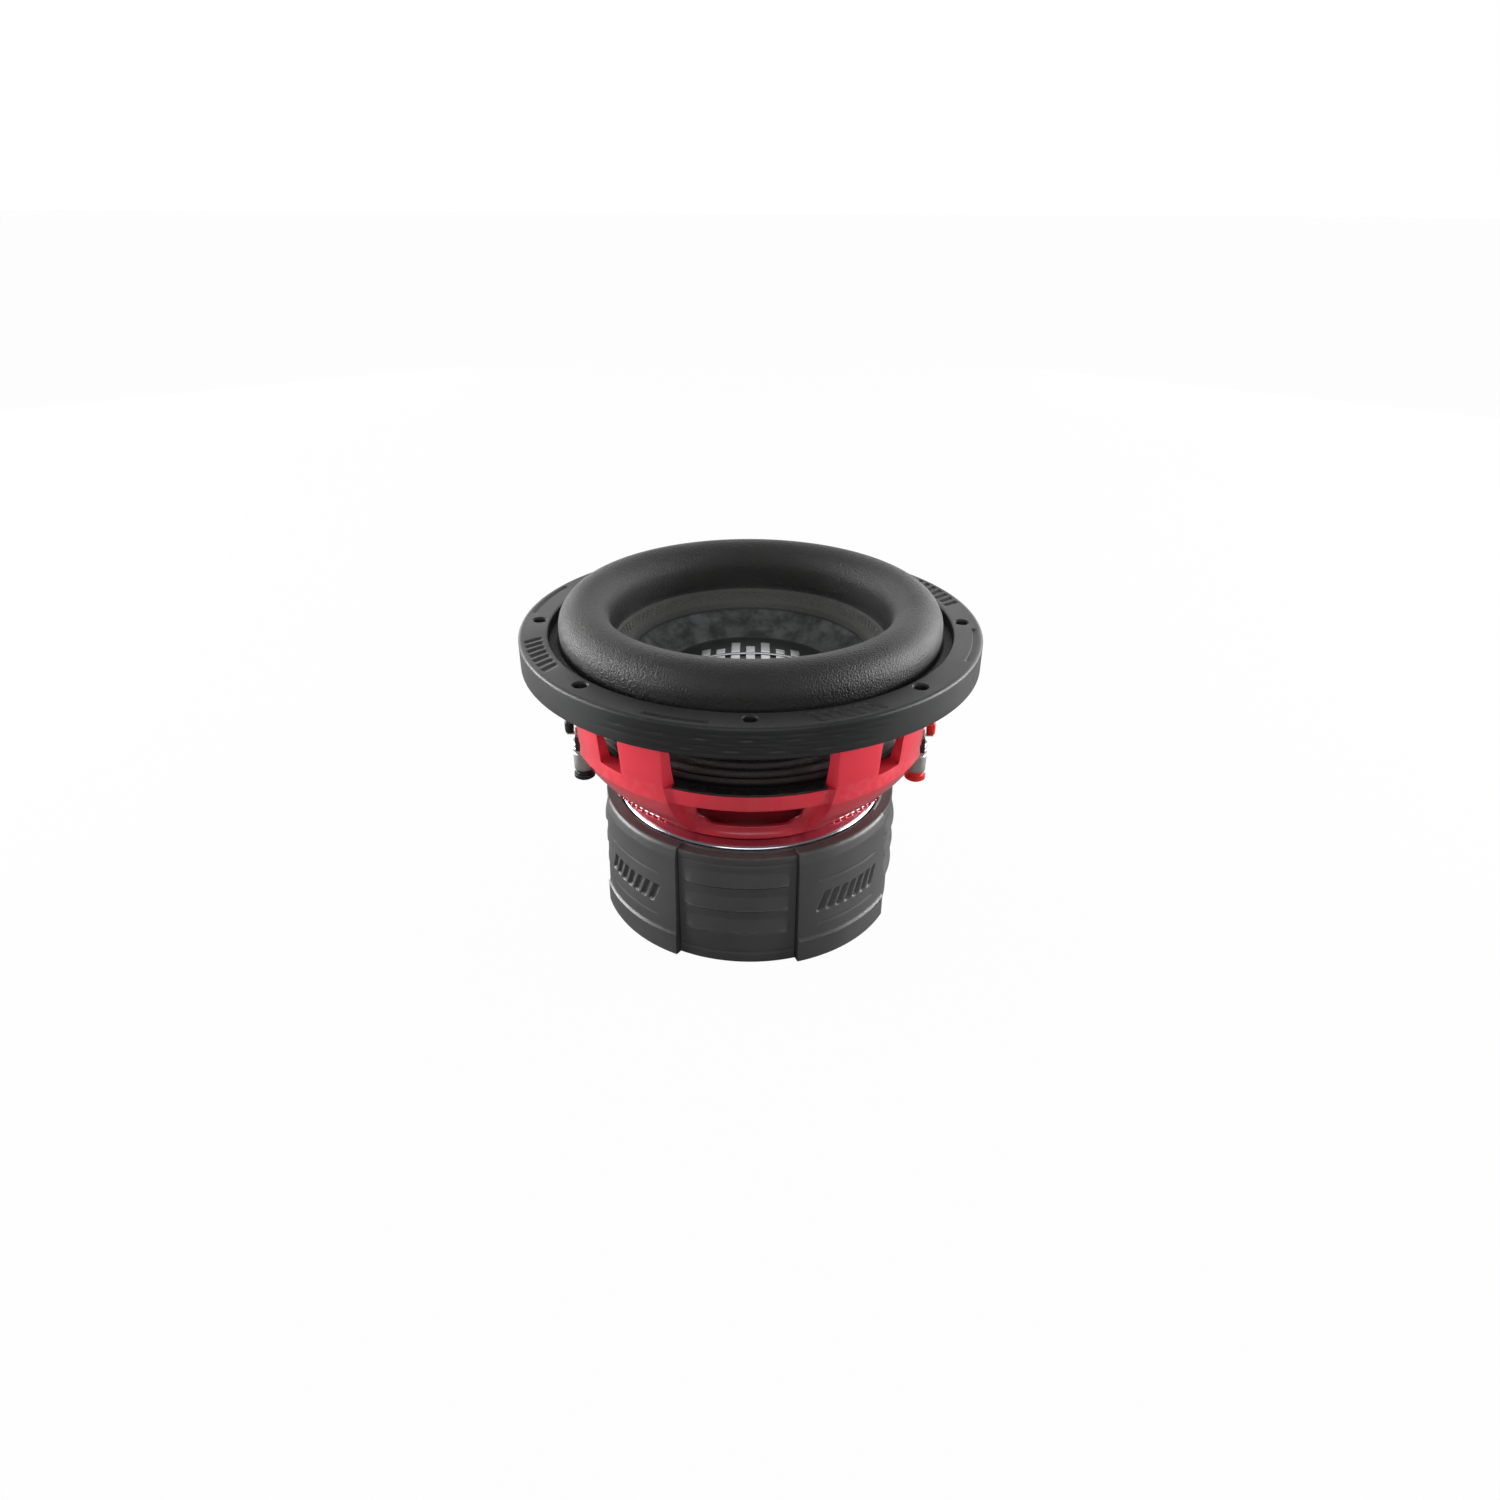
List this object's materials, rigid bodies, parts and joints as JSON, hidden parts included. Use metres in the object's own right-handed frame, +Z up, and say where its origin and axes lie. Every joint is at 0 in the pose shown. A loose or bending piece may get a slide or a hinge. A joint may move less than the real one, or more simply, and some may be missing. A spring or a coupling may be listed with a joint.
{
  "type": "car subwoofer speaker",
  "caption": "Round long-throw car subwoofer driver: cast basket, tall rolled surround, cone, voice coil and a magnet motor in a rubber boot.",
  "frame": {"origin": "on the speaker's axis, on the surface that the magnet boot stands on", "axes": "+Z up along the axis, out of the cone; -Y the front; +X and -X the sides with the terminals"},
  "size_m": [0.2222, 0.2222, 0.1651],
  "materials": {
    "basket_paint": "gloss red paint over cast aluminium",
    "rim_rubber": "moulded rubber, satin",
    "boot_rubber": "moulded rubber, satin",
    "surround_rubber": "fine-grained foam rubber",
    "cone_fibre": "mottled pressed paper fibre",
    "cap_rubber": "satin",
    "silver_trim": "satin silver",
    "plated_steel": "bright zinc plate",
    "ferrite": "sintered ferrite, matt",
    "aluminium": "turned",
    "copper_wire": "enamelled copper wire",
    "former_film": "dark glass-fibre sheet",
    "spider_cloth": "resin-dipped woven cloth",
    "nickel_plate": "bright nickel plate",
    "black_plastic": "moulded, semi-gloss",
    "red_plastic": "moulded, semi-gloss",
    "black_steel": "black oxide",
    "spring_steel": "drawn wire",
    "tinsel_wire": "braided tinsel"
  },
  "bodies": {
    "frame": {"basket": "basket_paint", "mounting_gasket": "rim_rubber", "magnet_boot": "boot_rubber", "pole_and_back_plate": "plated_steel", "top_plate": "plated_steel", "vent_screen": "black_steel", "shorting_ring": "aluminium", "lower_magnet": "ferrite", "upper_magnet": "ferrite", "basket_screw_1": "black_steel", "basket_screw_2": "black_steel", "basket_screw_3": "black_steel", "basket_screw_4": "black_steel", "left_terminal_block": "black_plastic", "left_block_screw_1": "black_steel", "left_block_screw_2": "black_steel", "right_terminal_block": "black_plastic", "right_block_screw_1": "black_steel", "right_block_screw_2": "black_steel", "left_red_terminal_post": "nickel_plate", "left_red_terminal_spring": "spring_steel", "left_red_solder_lug": "nickel_plate", "left_red_terminal_nut": "nickel_plate", "left_red_lead_sleeve": "red_plastic", "left_red_tinsel_lead": "tinsel_wire", "left_black_terminal_post": "nickel_plate", "left_black_terminal_spring": "spring_steel", "left_black_solder_lug": "nickel_plate", "left_black_terminal_nut": "nickel_plate", "left_black_lead_sleeve": "black_plastic", "left_black_tinsel_lead": "tinsel_wire", "right_red_terminal_post": "nickel_plate", "right_red_terminal_spring": "spring_steel", "right_red_solder_lug": "nickel_plate", "right_red_terminal_nut": "nickel_plate", "right_red_lead_sleeve": "red_plastic", "right_red_tinsel_lead": "tinsel_wire", "right_black_terminal_post": "nickel_plate", "right_black_terminal_spring": "spring_steel", "right_black_solder_lug": "nickel_plate", "right_black_terminal_nut": "nickel_plate", "right_black_lead_sleeve": "black_plastic", "right_black_tinsel_lead": "tinsel_wire"},
    "cone_assembly": {"cone": "cone_fibre", "dust_cap": "cap_rubber", "cap_emblem": "silver_trim", "voice_coil_former": "former_film", "voice_coil_winding": "copper_wire", "surround": "surround_rubber", "spider": "spider_cloth"},
    "left_red_button": {"left_red_terminal_button": "red_plastic"},
    "left_black_button": {"left_black_terminal_button": "black_plastic"},
    "right_red_button": {"right_red_terminal_button": "red_plastic"},
    "right_black_button": {"right_black_terminal_button": "black_plastic"}
  },
  "joints": [
    {"name": "cone_travel", "type": "slide", "parent": "frame", "child": "cone_assembly", "axis": [0, 0, 1], "range_m": [-0.012, 0.012], "stiffness_N_per_m": 8000, "deforming": ["surround", "spider", "left_red_tinsel_lead", "left_black_tinsel_lead", "right_red_tinsel_lead", "right_black_tinsel_lead"]},
    {"name": "left_red_button_push", "type": "slide", "parent": "frame", "child": "left_red_button", "axis": [0, 0, 1], "range_m": [0, 0.0022], "stiffness_N_per_m": 600, "deforming": ["left_red_terminal_spring"]},
    {"name": "left_black_button_push", "type": "slide", "parent": "frame", "child": "left_black_button", "axis": [0, 0, 1], "range_m": [0, 0.0022], "stiffness_N_per_m": 600, "deforming": ["left_black_terminal_spring"]},
    {"name": "right_red_button_push", "type": "slide", "parent": "frame", "child": "right_red_button", "axis": [0, 0, 1], "range_m": [0, 0.0022], "stiffness_N_per_m": 600, "deforming": ["right_red_terminal_spring"]},
    {"name": "right_black_button_push", "type": "slide", "parent": "frame", "child": "right_black_button", "axis": [0, 0, 1], "range_m": [0, 0.0022], "stiffness_N_per_m": 600, "deforming": ["right_black_terminal_spring"]}
  ]
}
